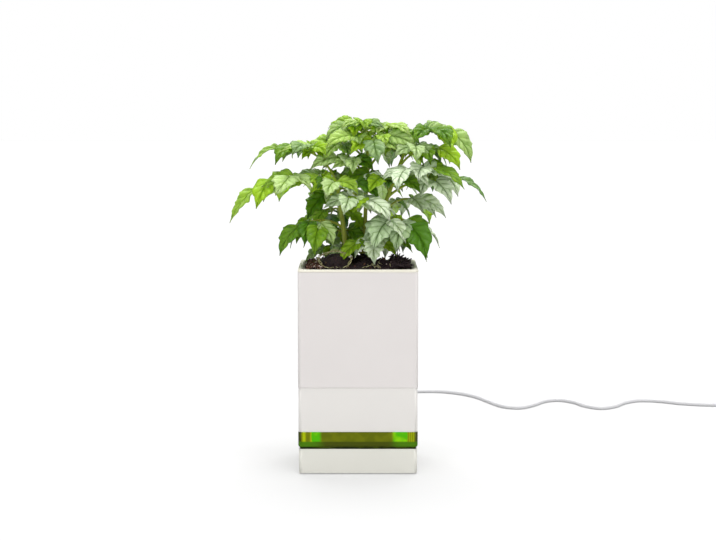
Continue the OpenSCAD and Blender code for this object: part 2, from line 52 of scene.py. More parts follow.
# ---- camera ----
# A long lens in front of the planter, a little above the plant's top and tipped down,
# so that the box shows its front face and a thin slice of its rim.
camera_data = bpy.data.cameras.new("camera")
camera_data.sensor_width = 36
camera_data.lens = 96.1
camera_data.clip_end = 20
camera = bpy.data.objects.new("camera", camera_data)
camera.location = (0, -1.135, 0.22)
camera.rotation_euler = (math.radians(90 - 5.2), 0, 0)
scene.collection.objects.link(camera)
scene.camera = camera


# ---- supply cord ----
# White round lead, 2.8 mm thick, moulded in soft plastic. It leaves the back of the base,
# drops to the table and runs off in loose waves, and the spare length is wound in a coil
# of two layers before the plug.
def srgb(red, green, blue, alpha=1.0):
    """Linear colour of a shade that is written as it looks, from 0 to 255."""
    linear = [c / 255 / 12.92 if c <= 10 else ((c / 255 + 0.055) / 1.055) ** 2.4
              for c in (red, green, blue)]
    return (*linear, alpha)


class Finish:
    """A material that is built node by node, its shader, and the place on the piece."""

    def __init__(self, name):
        self.material = bpy.data.materials.new(name)
        self.material.use_nodes = True
        self.nodes, self.links = self.material.node_tree.nodes, self.material.node_tree.links
        self.shader = self.nodes["Principled BSDF"]
        self.place = self.nodes.new("ShaderNodeTexCoord").outputs["Object"]

    def level(self, **levels):
        """Constant levels, straight on the shader's own sockets."""
        for socket, value in levels.items():
            self.shader.inputs[socket.replace("_", " ")].default_value = value

    def colour(self, pattern):
        self.links.new(pattern, self.shader.inputs["Base Color"])

    def noise(self, scale, detail=2, place=None):
        node = self.nodes.new("ShaderNodeTexNoise")
        node.inputs["Scale"].default_value = scale
        node.inputs["Detail"].default_value = detail
        self.links.new(place or self.place, node.inputs["Vector"])
        return node

    def mix(self, share, a, b, blend="MIX"):
        """Colour that goes from a to b with a share."""
        node = self.nodes.new("ShaderNodeMix")
        node.data_type = "RGBA"
        node.blend_type = blend
        for socket, value in (("Factor", share), ("A", a), ("B", b)):
            if isinstance(value, (int, float, tuple)):
                node.inputs[socket].default_value = value
            else:
                self.links.new(value, node.inputs[socket])
        return node.outputs["Result"]

    def roughness(self, pattern, low, high, start=0.0, end=1.0):
        """Roughness from low to high, as a pattern goes from start to end."""
        spread = self.nodes.new("ShaderNodeMapRange")
        levels = {"From Min": start, "From Max": end, "To Min": low, "To Max": high}
        for socket, value in levels.items():
            spread.inputs[socket].default_value = value
        self.links.new(pattern, spread.inputs["Value"])
        self.links.new(spread.outputs["Result"], self.shader.inputs["Roughness"])

    def bump(self, height, strength, distance, under=None):
        """Relief, on top of another bump's if one is given."""
        node = self.nodes.new("ShaderNodeBump")
        node.inputs["Strength"].default_value = strength
        node.inputs["Distance"].default_value = distance
        self.links.new(height, node.inputs["Height"])
        if under:
            self.links.new(under.outputs["Normal"], node.inputs["Normal"])
        self.links.new(node.outputs["Normal"], self.shader.inputs["Normal"])
        return node


def moulded_plastic(name, colour, roughness, grain=0.00004, grain_size=0.0012, cloud=0.03,
                    coat=0.0, shine=0.5):
    """Opaque plastic with the faint grain of its mould and a slow drift in its shade."""
    finish = Finish(name)
    finish.level(Coat_Weight=coat, Coat_Roughness=0.12, Specular_IOR_Level=shine)
    clouds = finish.noise(28, detail=3).outputs["Fac"]
    shaded = tuple(c * (1 - cloud * 2) for c in colour[:3]) + (1,)
    finish.colour(finish.mix(clouds, colour, shaded))
    finish.roughness(clouds, roughness - 0.04, roughness + 0.04, start=0.3, end=0.7)
    finish.bump(finish.noise(1 / grain_size).outputs["Fac"], 0.5, grain)
    return finish.material


def smooth_path(points, steps):
    """Catmull-Rom curve through the points, as in the source of the solids."""
    points = [Vector(p) for p in points]
    path = []
    for i in range(len(points) - 1):
        a, b, c, d = (points[max(0, min(len(points) - 1, i + k))] for k in (-1, 0, 1, 2))
        for s in range(steps):
            t = s / steps
            path.append(0.5 * (2 * b + (c - a) * t + (2 * a - 5 * b + 4 * c - d) * t**2
                               + (3 * b - a - 3 * c + d) * t**3))
    return path + [points[-1]]


cord_d = 0.0028
on_table = cord_d / 2
cord_exit = (0, 0.0465, 0.0076)
coil_x, coil_y = 0.292, 0.231
coil_turns = 3
coil_in = 0.0112
coil_out = coil_in + coil_turns * cord_d
route = [
    cord_exit, (0, 0.053, 0.0074), (0, 0.062, 0.0054),
    (-0.001, 0.073, 0.0025), (-0.002, 0.086, on_table), (-0.004, 0.106, on_table),
    (-0.006, 0.130, on_table), (-0.006, 0.155, on_table), (-0.004, 0.180, on_table),
    (0, 0.204, on_table), (0.006, 0.228, on_table), (0.015, 0.250, on_table),
    (0.029, 0.266, on_table), (0.046, 0.273, on_table), (0.062, 0.272, on_table),
    (0.076, 0.262, on_table), (0.087, 0.245, on_table), (0.095, 0.222, on_table),
    (0.103, 0.203, on_table), (0.114, 0.198, on_table), (0.125, 0.210, on_table),
    (0.134, 0.226, on_table), (0.145, 0.232, on_table), (0.155, 0.222, on_table),
    (0.161, 0.206, on_table), (0.171, 0.196, on_table), (0.182, 0.204, on_table),
    (0.191, 0.220, on_table), (0.203, 0.230, on_table), (0.217, 0.227, on_table),
    (0.231, 0.217, on_table), (0.248, 0.211, on_table),
    (0.266, coil_y - coil_out - 0.0003, on_table), (0.282, coil_y - coil_out, on_table)]
plug_at = Vector((coil_x + coil_out - 0.002, 0.274, 0.0037))
tail = [
    (coil_x + coil_out, coil_y + 0.008, 1.5 * cord_d), (coil_x + coil_out, 0.248, 0.0029),
    (coil_x + coil_out - 0.001, 0.258, on_table + 0.0002), (plug_at.x, 0.266, 0.0028),
    (plug_at.x, 0.2705, 0.00365), plug_at]
route_steps = 5
tail_steps = 4
turn_steps = 48
top_layer_turns = coil_turns + 0.25
climb_turns = 0.3


def on_coil(turn, reach, height):
    """Point of the coil, whose turns start at its front."""
    angle = 2 * math.pi * turn - math.pi / 2
    return Vector((coil_x + reach * math.cos(angle), coil_y + reach * math.sin(angle), height))


coil = []
for step in range(coil_turns * turn_steps):
    turn = step / turn_steps
    coil.append(on_coil(turn, coil_out - cord_d * turn, on_table))
for step in range(int(top_layer_turns * turn_steps)):
    turn = step / turn_steps
    rise = cord_d * min(1, turn / climb_turns)
    coil.append(on_coil(turn, min(coil_out, coil_in + cord_d * turn), on_table + rise))
cord_path = smooth_path(route, route_steps) + coil + smooth_path(tail, tail_steps)
for point in cord_path:
    point.z = max(point.z, on_table)

cord_data = bpy.data.curves.new("supply_lead", "CURVE")
cord_data.dimensions = "3D"
cord_data.bevel_depth = cord_d / 2
cord_data.bevel_resolution = 3
cord_data.use_fill_caps = True
line = cord_data.splines.new("POLY")
line.points.add(len(cord_path) - 1)
for spot, point in zip(line.points, cord_path):
    spot.co = (*point, 1)
supply_lead = bpy.data.objects.new("supply_lead", cord_data)
scene.collection.objects.link(supply_lead)
cord_white = moulded_plastic("cord_white", srgb(212, 212, 214), 0.5, grain=0.00003,
                             grain_size=0.0006)
cord_data.materials.append(cord_white)
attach(supply_lead, "base")
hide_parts("supply_cord", "cord_coil")


# ---- plug ----
# Grip with stepped shoulders and three ribs on each side, moulded round the cord's end in
# the same white plastic. The plated steel shell with its contact block is held in the grip.
def link_mesh(bm, name, material, body, replaced=()):
    """Turns a finished bmesh into a piece that rides on a body."""
    mesh = bpy.data.meshes.new(name)
    bm.to_mesh(mesh)
    bm.free()
    mesh.materials.append(material)
    piece = bpy.data.objects.new(name, mesh)
    scene.collection.objects.link(piece)
    for face in mesh.polygons:
        face.use_smooth = True
    mesh.set_sharp_from_angle(angle=math.radians(35))
    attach(piece, body)
    if replaced:
        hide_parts(*replaced)
    return piece


def upright(edge):
    """Whether an edge runs along Z."""
    along = edge.verts[1].co - edge.verts[0].co
    return abs(along.z) > 0.9 * along.length


same_spot = 1e-6


def block(bm, low, high, corner, edge, corner_steps=6, edge_steps=3):
    """Closed block with round upright corners and small rounds on its top and bottom."""
    low, high = Vector(low), Vector(high)
    made = bmesh.ops.create_cube(bm, size=1)
    verts = made["verts"]
    bmesh.ops.scale(bm, vec=high - low, verts=verts)
    bmesh.ops.translate(bm, vec=(low + high) / 2, verts=verts)
    edges = [e for e in {e for v in verts for e in v.link_edges} if upright(e)]
    bmesh.ops.bevel(bm, geom=edges, offset=corner, segments=corner_steps, profile=0.5,
                    affect="EDGES", material=-1)
    caps = [f for f in bm.faces if f.is_valid and abs(f.normal.z) > 0.9
            and min(abs(f.calc_center_median().z - z) for z in (low.z, high.z)) < same_spot]
    if edge:
        rims = list({e for f in caps for e in f.edges})
        bmesh.ops.bevel(bm, geom=rims, offset=edge, segments=edge_steps, profile=0.5,
                        affect="EDGES", material=-1)
    bm.normal_update()


bm = bmesh.new()
grip_low, grip_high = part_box("plug_grip")
# Built upright, then laid along +Y
grip_half = (grip_high.x - grip_low.x) / 2
grip_thick = (grip_high.z - grip_low.z) / 2
grip_long = grip_high.y - grip_low.y
block(bm, (-grip_half, -grip_thick, 0.006), (grip_half, grip_thick, grip_long), 0.002, 0.0007)
block(bm, (-grip_half + 0.002, -grip_thick + 0.001, 0.003),
      (grip_half - 0.002, grip_thick - 0.001, 0.0075), 0.002, 0.0005)
block(bm, (-0.0026, -0.0026, 0), (0.0026, 0.0026, 0.004), 0.0022, 0.0006)
for k in range(3):
    z = 0.010 + 0.0026 * k
    for side in (-1, 1):
        block(bm, (side * grip_half - 0.0003, -0.0022, z),
              (side * grip_half + 0.0003, 0.0022, z + 0.0012), 0.0002, 0)
bmesh.ops.rotate(bm, verts=bm.verts, matrix=Matrix.Rotation(math.radians(-90), 3, "X"))
bmesh.ops.translate(bm, verts=bm.verts, vec=plug_at)
plug_grip = link_mesh(bm, "plug_handle", cord_white, "base", ["plug_grip"])


def stretched(finish, scale):
    """Place on the piece, drawn out along an axis."""
    mapping = finish.nodes.new("ShaderNodeMapping")
    mapping.inputs["Scale"].default_value = scale
    finish.links.new(finish.place, mapping.inputs["Vector"])
    return mapping.outputs["Vector"]


def plated_steel(name, colour, roughness):
    """Bright plating with fine rolled lines and uneven gloss."""
    finish = Finish(name)
    finish.level(Metallic=1, Base_Color=colour)
    lines = finish.noise(4000, place=stretched(finish, (1, 0.08, 1))).outputs["Fac"]
    finish.roughness(lines, roughness - 0.08, roughness + 0.1)
    finish.bump(lines, 0.3, 0.00001)
    return finish.material


def finished_copy(node, name, material, body):
    """Smooth-shaded copy of a solid whose shape is already right."""
    bm = bmesh.new()
    bm.from_mesh(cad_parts[node].data)
    bmesh.ops.remove_doubles(bm, verts=bm.verts, dist=same_spot)
    piece = link_mesh(bm, name, material, body, [node])
    weigh = piece.modifiers.new("even_shading", "WEIGHTED_NORMAL")
    weigh.keep_sharp = True
    return piece


nickel = plated_steel("nickel_plate", srgb(205, 205, 208), 0.28)
plug_shell = finished_copy("plug_shell", "plug_tongue", nickel, "base")


# ---- coil tie ----
# Soft grey strap with a moulded lock, pulled once round the bundle of turns to hold the
# coil together. Its ends meet under the lock, on top of the coil.
tie_wide = 0.0032
tie_thick = 0.0004
tie_turn = math.radians(120)
bundle_in = coil_in - cord_d / 2 - tie_thick
bundle_out = coil_out + cord_d / 2 + tie_thick
bundle_top = 2 * cord_d + tie_thick
bm = bmesh.new()
# Built upright as a closed block whose two open ends become the strap's edges
block(bm, (bundle_in, 0, -tie_wide / 2), (bundle_out, bundle_top, tie_wide / 2), 0.0012, 0)
bmesh.ops.delete(bm, geom=[f for f in bm.faces if abs(f.normal.z) > 0.9], context="FACES_ONLY")
bmesh.ops.solidify(bm, geom=bm.faces[:], thickness=tie_thick)
bmesh.ops.recalc_face_normals(bm, faces=bm.faces)
lock_half = tie_wide / 2 + 0.0005
block(bm, (bundle_out - 0.0062, bundle_top - 0.0001, -lock_half),
      (bundle_out - 0.0028, bundle_top + 0.0011, lock_half), 0.0004, 0.0002)
bmesh.ops.rotate(bm, verts=bm.verts, matrix=Matrix.Rotation(math.radians(90), 3, "X"))
bmesh.ops.rotate(bm, verts=bm.verts, matrix=Matrix.Rotation(tie_turn, 3, "Z"))
bmesh.ops.translate(bm, verts=bm.verts, vec=(coil_x, coil_y, 0))
strap_grey = moulded_plastic("strap_grey", srgb(150, 152, 154), 0.55, grain=0.00004,
                             grain_size=0.0005)
coil_tie = link_mesh(bm, "coil_tie", strap_grey, "base")


# ---- base ----
# Satin off-white shell with a plinth for the tank, two charging sockets at the back, a
# grey rubber pad under its bottom plate, and the board that feeds the sockets.
base_white = moulded_plastic("base_white", srgb(229, 228, 219), 0.5, grain=0.00005,
                             grain_size=0.0009)
finished_copy("base_housing", "base_shell", base_white, "base")
plate_white = moulded_plastic("plate_white", srgb(222, 222, 217), 0.6, grain=0.00008,
                              grain_size=0.0007)
finished_copy("base_plate", "bottom_plate", plate_white, "base")
pad_rubber = moulded_plastic("pad_rubber", srgb(128, 130, 130), 0.85, grain=0.00012,
                             grain_size=0.0008)
finished_copy("anti_slip_pad", "foot_pad", pad_rubber, "base")
board_green = moulded_plastic("board_green", srgb(38, 110, 66), 0.35, grain=0.00002, cloud=0.08)
finished_copy("circuit_board", "power_board", board_green, "base")
black_case = moulded_plastic("black_case", srgb(48, 48, 52), 0.45)
finished_copy("power_components", "board_parts", black_case, "base")
tin = plated_steel("tin_plate", srgb(196, 196, 200), 0.32)
finished_copy("charging_sockets", "rear_sockets", tin, "base")
zinc = plated_steel("zinc_plate", srgb(182, 182, 186), 0.38)
finished_copy("board_screws", "board_fixings", zinc, "base")
finished_copy("plate_screws", "plate_fixings", zinc, "base")
finished_copy("strain_relief", "cord_boot", cord_white, "base")


# ---- water tank ----
# Clear olive tray painted with the glow of light through the water and the shade of the soil
# well behind its wall, with paler screw posts in its corners, a silicone seal and a white collar
# screwed on from below.
def pattern_tools(finish):
    """Short calls that add a math node or a smooth step to a finish."""
    def calc(operation, *values):
        node = finish.nodes.new("ShaderNodeMath")
        node.operation = operation
        for socket, value in zip(node.inputs, values):
            if isinstance(value, (int, float)):
                socket.default_value = value
            else:
                finish.links.new(value, socket)
        return node.outputs["Value"]

    def step_up(value, start, end):
        node = finish.nodes.new("ShaderNodeMapRange")
        node.interpolation_type = "SMOOTHSTEP"
        node.inputs["From Min"].default_value = start
        node.inputs["From Max"].default_value = end
        finish.links.new(value, node.inputs["Value"])
        return node.outputs["Result"]

    return calc, step_up


def split(finish, vector):
    apart = finish.nodes.new("ShaderNodeSeparateXYZ")
    finish.links.new(vector, apart.inputs["Vector"])
    return apart.outputs["X"], apart.outputs["Y"], apart.outputs["Z"]


def let_through(finish, colour, share):
    """Lets a share of the light through, tinted."""
    glow = finish.nodes.new("ShaderNodeBsdfTranslucent")
    finish.links.new(colour, glow.inputs["Color"])
    both = finish.nodes.new("ShaderNodeMixShader")
    if isinstance(share, float):
        both.inputs["Fac"].default_value = share
    else:
        finish.links.new(share, both.inputs["Fac"])
    finish.links.new(finish.shader.outputs["BSDF"], both.inputs[1])
    finish.links.new(glow.outputs["BSDF"], both.inputs[2])
    finish.links.new(both.outputs["Shader"], finish.nodes["Material Output"].inputs["Surface"])


def tray_material():
    """Tinted clear plastic, with painted light and shade of what stands behind the wall."""
    finish = Finish("olive_tray")
    finish.level(Roughness=0.14, Specular_IOR_Level=0.12)
    calc, step_up = pattern_tools(finish)
    x, y, z = split(finish, finish.place)
    across = calc("ABSOLUTE", x)
    depth = calc("ABSOLUTE", y)
    along = calc("MINIMUM", across, depth)
    on_side = calc("GREATER_THAN", across, depth)
    on_left = calc("LESS_THAN", x, 0)
    wobble = finish.noise(160).outputs["Fac"]
    drift = calc("MULTIPLY_ADD", wobble, 0.0012, -0.0006)
    patches = step_up(wobble, 0.35, 0.65)
    # The well is 40 mm wide and 58 mm deep, so less of it shows past the ends of the sides,
    # and it hangs a little to the right
    past_well = calc("SUBTRACT", along, calc("MULTIPLY", on_side, 0.009))
    past_well = calc("SUBTRACT", past_well, calc("MULTIPLY", on_left, 0.0012))
    past_well = calc("ADD", past_well, drift)
    # Distances are from the middle of a side: the well ends at about 20 mm, the corner posts
    # start at 28 mm and the painted dark edge of the rim at 33 mm
    water = step_up(past_well, 0.0194, 0.0216)
    near_well = step_up(past_well, 0.0170, 0.0250)
    post_edge = calc("ADD", along, calc("MULTIPLY", on_left, 0.0018))
    post = step_up(calc("ADD", post_edge, drift), 0.0284, 0.0290)
    rim = step_up(along, 0.0328, 0.0336)
    # Ribs of the posts stand closer together on the right
    pitch = calc("MULTIPLY_ADD", on_left, 0.0034, 0.00115)
    ribs = calc("FRACT", calc("DIVIDE", calc("SUBTRACT", post_edge, 0.0287), pitch))
    crest = calc("ABSOLUTE", calc("MULTIPLY_ADD", ribs, 2, -1))
    # Painted light and shade: pale rib crests, a bright glow in the water past the well, dark shade
    # on the well
    post_glow_colour = finish.mix(step_up(crest, 0.35, 0.85), srgb(130, 140, 0), srgb(190, 208, 0))
    painted_glow_colour = finish.mix(patches, srgb(92, 206, 0), srgb(156, 232, 0))
    painted_well_shade = finish.mix(patches, srgb(108, 118, 0), srgb(124, 134, 6))
    inside = finish.mix(post, finish.mix(water, painted_well_shade, painted_glow_colour), post_glow_colour)
    # Painted shade: a dark edge at the ends of each side
    upper = finish.mix(rim, inside, srgb(64, 72, 8))
    # Below the floor of the tray come the skirt in painted shade, with a painted glow near the
    # well's ends, and at its bottom the foot in painted shadow
    skirt = finish.mix(near_well, srgb(80, 90, 8), srgb(84, 138, 8))
    painted_foot_shadow = finish.mix(patches, srgb(34, 48, 4), srgb(66, 82, 6))
    lower = finish.mix(step_up(z, 0.0159, 0.0165), painted_foot_shadow, skirt)
    colour = finish.mix(step_up(z, 0.0190, 0.0198), lower, upper)
    finish.colour(colour)
    let_through(finish, colour, 0.25)
    return finish.material


finished_copy("water_tray", "tank_tray", tray_material(), "tank")
collar_white = moulded_plastic("collar_white", srgb(230, 227, 223), 0.36, grain=0.00003,
                               grain_size=0.0014, coat=0.1)
finished_copy("tank_collar", "white_collar", collar_white, "tank")
silicone = moulded_plastic("clear_silicone", srgb(205, 210, 206), 0.5)
finished_copy("tank_seal", "collar_seal", silicone, "tank")
finished_copy("tank_screws", "tank_fixings", zinc, "tank")


# ---- pot ----
# Satin white outer pot, a cream-white liner whose rim frames the soil, and the slotted well,
# coloured dark olive as painted shade, with its felt that hangs down into the water.
pot_white = moulded_plastic("pot_white", srgb(226, 221, 219), 0.34, grain=0.00003,
                            grain_size=0.0016, coat=0.12)
finished_copy("pot_shell", "outer_pot", pot_white, "pot")
rim_cream = moulded_plastic("rim_cream", srgb(243, 239, 224), 0.66, grain=0.00003,
                            grain_size=0.0012, shine=0.15)
finished_copy("pot_liner", "rim_liner", rim_cream, "pot")
# The well's dark olive is painted shade, tinted by the green tray around it
shaded_well_plastic = moulded_plastic("shaded_well_plastic", srgb(74, 80, 40), 0.5, grain=0.00005)
finished_copy("soil_well", "slotted_well", shaded_well_plastic, "pot")
felt = moulded_plastic("pressed_felt", srgb(214, 210, 198), 0.95, grain=0.0004,
                       grain_size=0.0006, cloud=0.1)
finished_copy("wick_felt", "well_felt", felt, "pot")


# ---- potting soil ----
# Damp dark peat and bark, heaped a little above the rim over the plugs that the plants
# were raised in, with crumbs, twigs, bark chips and pale grit lying loose on it.
def ramp(finish, value, low, high, start=0.0, end=1.0):
    """Colour from low to high between two levels of a value."""
    node = finish.nodes.new("ShaderNodeValToRGB")
    for element, position, colour in zip(node.color_ramp.elements, (start, end), (low, high)):
        element.position = position
        element.color = colour
    finish.links.new(value, node.inputs["Fac"])
    return node.outputs["Color"]


def soil_material(name, dark, light, chip_scale):
    """Lumps with finer dust on them."""
    finish = Finish(name)
    finish.level(Roughness=0.82, Specular_IOR_Level=0.35)
    crumbs = finish.nodes.new("ShaderNodeTexVoronoi")
    crumbs.inputs["Scale"].default_value = chip_scale
    finish.links.new(finish.place, crumbs.inputs["Vector"])
    dust = finish.noise(900, detail=6).outputs["Fac"]
    finish.colour(ramp(finish, dust, dark, light, start=0.35, end=0.75))
    lumps = finish.bump(crumbs.outputs["Distance"], 0.9, 0.0008)
    finish.bump(dust, 0.6, 0.0003, under=lumps)
    return finish.material


peat = soil_material("peat", srgb(18, 9, 16), srgb(50, 31, 30), 600)
bark = soil_material("bark", srgb(58, 36, 26), srgb(126, 84, 64), 800)
grit = soil_material("grit", srgb(206, 180, 168), srgb(240, 228, 222), 900)
random.seed(11)
soil_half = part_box("potting_soil")[1].x
rim_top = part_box("pot_liner")[1].z
# Peat plugs that the plants were raised in: place, radius and height above the heap
plugs = [(-0.0135, -0.013, 0.0102, 0.0074), (0.0075, -0.017, 0.0085, 0.0036),
         (0.0195, -0.016, 0.0075, 0.0036), (0.001, 0.008, 0.009, 0.004)]


def soil_height(x, y):
    """Heap with the plugs and lumps on it."""
    heap = 0.0003 - 1.1 * (x * x + y * y)
    for plug_x, plug_y, radius, height in plugs:
        away = math.hypot(x - plug_x, y - plug_y) / radius
        heap += height * math.sqrt(max(0, 1 - away * away)) if away < 1 else 0
    lumps = 0.0011 * noise.noise(Vector((x * 130, y * 130, 3)))
    lumps += 0.0007 * noise.noise(Vector((x * 420, y * 420, 7)))
    return rim_top + heap + lumps


bm = bmesh.new()
bm.from_mesh(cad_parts["potting_soil"].data)
bmesh.ops.remove_doubles(bm, verts=bm.verts, dist=same_spot)
link_mesh(bm, "soil_block", peat, "pot", ["potting_soil"])

bm = bmesh.new()
soil_cells = 90
soil_corner = 0.0068
bmesh.ops.create_grid(bm, x_segments=soil_cells, y_segments=soil_cells, size=soil_half - 0.0002)
for vert in bm.verts:
    # Pulls the square's corners in to the round corners of the planting hole
    over_x = abs(vert.co.x) - (soil_half - soil_corner)
    over_y = abs(vert.co.y) - (soil_half - soil_corner)
    if over_x > 0 and over_y > 0:
        reach = math.hypot(over_x, over_y)
        square = reach / max(over_x, over_y)
        vert.co.x -= math.copysign(over_x * (1 - 1 / square), vert.co.x)
        vert.co.y -= math.copysign(over_y * (1 - 1 / square), vert.co.y)
    vert.co.z = soil_height(vert.co.x, vert.co.y)
soil_edge = [e for e in bm.edges if e.is_boundary]
skirt = bmesh.ops.extrude_edge_only(bm, edges=soil_edge)
for vert in skirt["geom"]:
    if isinstance(vert, bmesh.types.BMVert):
        vert.co.z = rim_top - 0.004
bmesh.ops.contextual_create(bm, geom=[e for e in bm.edges if e.is_boundary])
bmesh.ops.recalc_face_normals(bm, faces=bm.faces)
link_mesh(bm, "soil_heap", peat, "pot")


def crumb(bm, at, size, squash):
    """One small irregular lump, turned at random."""
    axis = Vector((random.random(), random.random(), 0.3)).normalized()
    shape = Matrix.Rotation(random.uniform(0, 6.28), 4, axis) @ Matrix.Diagonal(squash).to_4x4()
    made = bmesh.ops.create_icosphere(bm, subdivisions=1, radius=size,
                                      matrix=Matrix.Translation(at) @ shape)
    for vert in made["verts"]:
        vert.co += (vert.co - at) * random.uniform(-0.22, 0.22)


def scatter(bm, count, low, high, small, large, squash, lift=0.3):
    """Crumbs by the handful, because operators slow down as their mesh grows."""
    handful = bpy.data.meshes.new("handful")
    cut_x, cut_y, cut_radius = plugs[0][:3]
    while count > 0:
        part = bmesh.new()
        for _ in range(min(count, 50)):
            x = random.uniform(low[0], high[0])
            y = random.uniform(low[1], high[1])
            size = random.uniform(small, large)
            # The left plug is cut peat, so few crumbs lie on it
            if math.hypot(x - cut_x, y - cut_y) < 0.92 * cut_radius and random.random() < 0.9:
                continue
            crumb(part, Vector((x, y, soil_height(x, y) + lift * size)), size, squash)
        part.to_mesh(handful)
        part.free()
        bm.from_mesh(handful)
        count -= 50
    bpy.data.meshes.remove(handful)


inner = soil_half - 0.0016
bm = bmesh.new()
scatter(bm, 1700, (-inner, -inner), (inner, inner), 0.0004, 0.0012, (1, 1, 0.75))
scatter(bm, 320, (0.02, -inner), (inner, 0.01), 0.0006, 0.0016, (2.4, 0.34, 0.34), 2.0)
link_mesh(bm, "soil_crumbs", peat, "pot")
bm = bmesh.new()
scatter(bm, 300, (-inner, -inner), (-0.021, inner), 0.0005, 0.0013, (2, 0.6, 0.45), 1.3)
scatter(bm, 90, (-inner, -inner), (inner, inner), 0.0005, 0.0011, (1.8, 0.7, 0.5), 0.6)
link_mesh(bm, "bark_chips", bark, "pot")
bm = bmesh.new()
scatter(bm, 90, (-inner, -inner), (-0.021, 0), 0.0004, 0.0008, (1.3, 0.8, 0.6), 2.2)
scatter(bm, 14, (-inner, -inner), (inner, inner), 0.0004, 0.0008, (1, 1, 0.8), 0.8)
link_mesh(bm, "pale_grit", grit, "pot")


# ---- surface roots ----
# Pale fibrous roots that wander over the soil, and one that arches round the left plug.
# Each is a thin closed tube.
def stalk(bm, path, radii, sides=8):
    """Round stalk along a path, closed at both ends."""
    ring = bmesh.ops.create_circle(bm, segments=sides, radius=1, cap_ends=True)["verts"]
    for i, (point, radius) in enumerate(zip(path, radii)):
        ahead = path[min(i + 1, len(path) - 1)] - path[max(i - 1, 0)]
        turn = ahead.to_track_quat("Z", "Y")
        if i:
            loops = [e for e in {e for v in ring for e in v.link_edges}
                     if all(v in ring for v in e.verts)]
            made = bmesh.ops.extrude_edge_only(bm, edges=loops)
            # The new ring keeps the old one's order round the stalk
            fresh = [v for v in made["geom"] if isinstance(v, bmesh.types.BMVert)]
            ring = [next(v for v in fresh if (v.co - old.co).length < 1e-9) for old in ring]
        for k, vert in enumerate(ring):
            angle = 2 * math.pi * k / sides
            vert.co = point + turn @ Vector((radius * math.cos(angle), radius * math.sin(angle), 0))
    bmesh.ops.contextual_create(bm, geom=ring)


root_step = 0.0015


def root(bm, x, y, turn, length, radius):
    """Thin root that wanders over the soil."""
    path = []
    for _ in range(int(length / root_step)):
        path.append(Vector((x, y, soil_height(x, y) + 0.6 * radius)))
        turn += random.uniform(-0.5, 0.5)
        x = max(-inner, min(inner, x + root_step * math.cos(turn)))
        y = max(-inner, min(inner, y + root_step * math.sin(turn)))
    stalk(bm, path, [radius * (1 - 0.5 * i / len(path)) for i in range(len(path))], 5)


root_skin = soil_material("root_skin", srgb(146, 138, 88), srgb(226, 220, 172), 1400)
bm = bmesh.new()
plug_x, plug_y, plug_radius = plugs[0][:3]
# Two strands of one root arch round the left plug
for spread in (0, 0.0012):
    arch = []
    for k in range(25):
        angle = math.radians(-100 + 15 * k)
        wobble = spread * math.sin(5 * angle)
        arch.append(Vector((plug_x + (0.94 * plug_radius + wobble) * math.cos(angle),
                            plug_y - 0.007 + 0.004 * math.sin(angle),
                            rim_top + 0.0044 + (0.0048 + wobble) * math.sin(angle))))
    stalk(bm, arch, [0.00034 - 0.06 * spread] * len(arch), 6)
# Thin ones lie by the stems, and thicker and longer ones at the right
for _ in range(9):
    root(bm, random.uniform(-0.004, 0.012), random.uniform(-0.029, -0.016),
         random.uniform(-0.6, 0.6), random.uniform(0.008, 0.02), random.uniform(0.0002, 0.00035))
for _ in range(18):
    root(bm, random.uniform(0.019, 0.028), random.uniform(-0.029, -0.01),
         random.uniform(0, 6.28), random.uniform(0.008, 0.018), random.uniform(0.0002, 0.0004))
link_mesh(bm, "surface_roots", root_skin, "pot")


# ---- stems ----
# Three woody stems, olive brown at the soil and greener above, that stand in the soil and
# carry the leaves.
def stem_material():
    """Fine streaks up the stem, over a colour that turns greener with height."""
    finish = Finish("green_bark")
    finish.level(Roughness=0.55)
    streaks = finish.noise(1400, place=stretched(finish, (1, 1, 0.15)))
    height = finish.nodes.new("ShaderNodeMapRange")
    height.inputs["From Min"].default_value = rim_top
    height.inputs["From Max"].default_value = rim_top + 0.05
    finish.links.new(split(finish, finish.place)[2], height.inputs["Value"])
    green = ramp(finish, height.outputs["Result"], srgb(134, 128, 40), srgb(170, 190, 44))
    finish.colour(finish.mix(0.35, green, streaks.outputs["Color"], blend="MULTIPLY"))
    finish.bump(streaks.outputs["Fac"], 0.4, 0.0002)
    return finish.material


# Heights are above the rim, in millimetres, as in the source of the solids
stems = [
    [(-6, -2, -10), (-8, -2, 16), (-12, 0, 46)],
    [(5, 0, -10), (10, 3, 14), (17, 4, 38), (27, 2, 65)],
    [(2, 9, -10), (4, 12, 18), (5, 10, 46), (6, 7, 74)]]
stem_r = 1.8
stem_steps = 8
mm = 0.001
plant_foot = Vector((0, 0, rim_top))


def plant_piece(bm, name, material, replaced):
    """Plant meshes are built in millimetres from the rim up, then scaled into place."""
    bmesh.ops.recalc_face_normals(bm, faces=bm.faces)
    bmesh.ops.scale(bm, verts=bm.verts, vec=(mm, mm, mm))
    bmesh.ops.translate(bm, verts=bm.verts, vec=plant_foot)
    return link_mesh(bm, name, material, "pot", replaced)


stem_green = stem_material()
bm = bmesh.new()
for number, stem in enumerate(stems):
    path = smooth_path(stem, stem_steps)
    foot_r = stem_r if number == 0 else 0.8 * stem_r
    radii = []
    for i in range(len(path)):
        share = i / (len(path) - 1)
        radii.append(foot_r * (1 - 0.35 * share) * (1 + 0.06 * math.sin(9 * share + number)))
    stalk(bm, path, radii, 12)
plant_piece(bm, "woody_stems", stem_green, ["plant_stems"])


# ---- leaves ----
# Compound leaves: a thin arching stalk with pairs of glossy, lobed leaflets that droop to
# long drip tips. Blades have painted shade in the creases along their veins, are matt
# underneath, and many carry a painted pale sheen. Their stalks grow from the stems.

# Side veins on a blade, how far they lean to its tip and how they curve
vein_count = 4.6
vein_lean = 1.2
vein_curve = 0.8


def carried(finish, name):
    """Level that each blade carries under a name."""
    level = finish.nodes.new("ShaderNodeAttribute")
    level.attribute_name = name
    return level.outputs["Fac"]


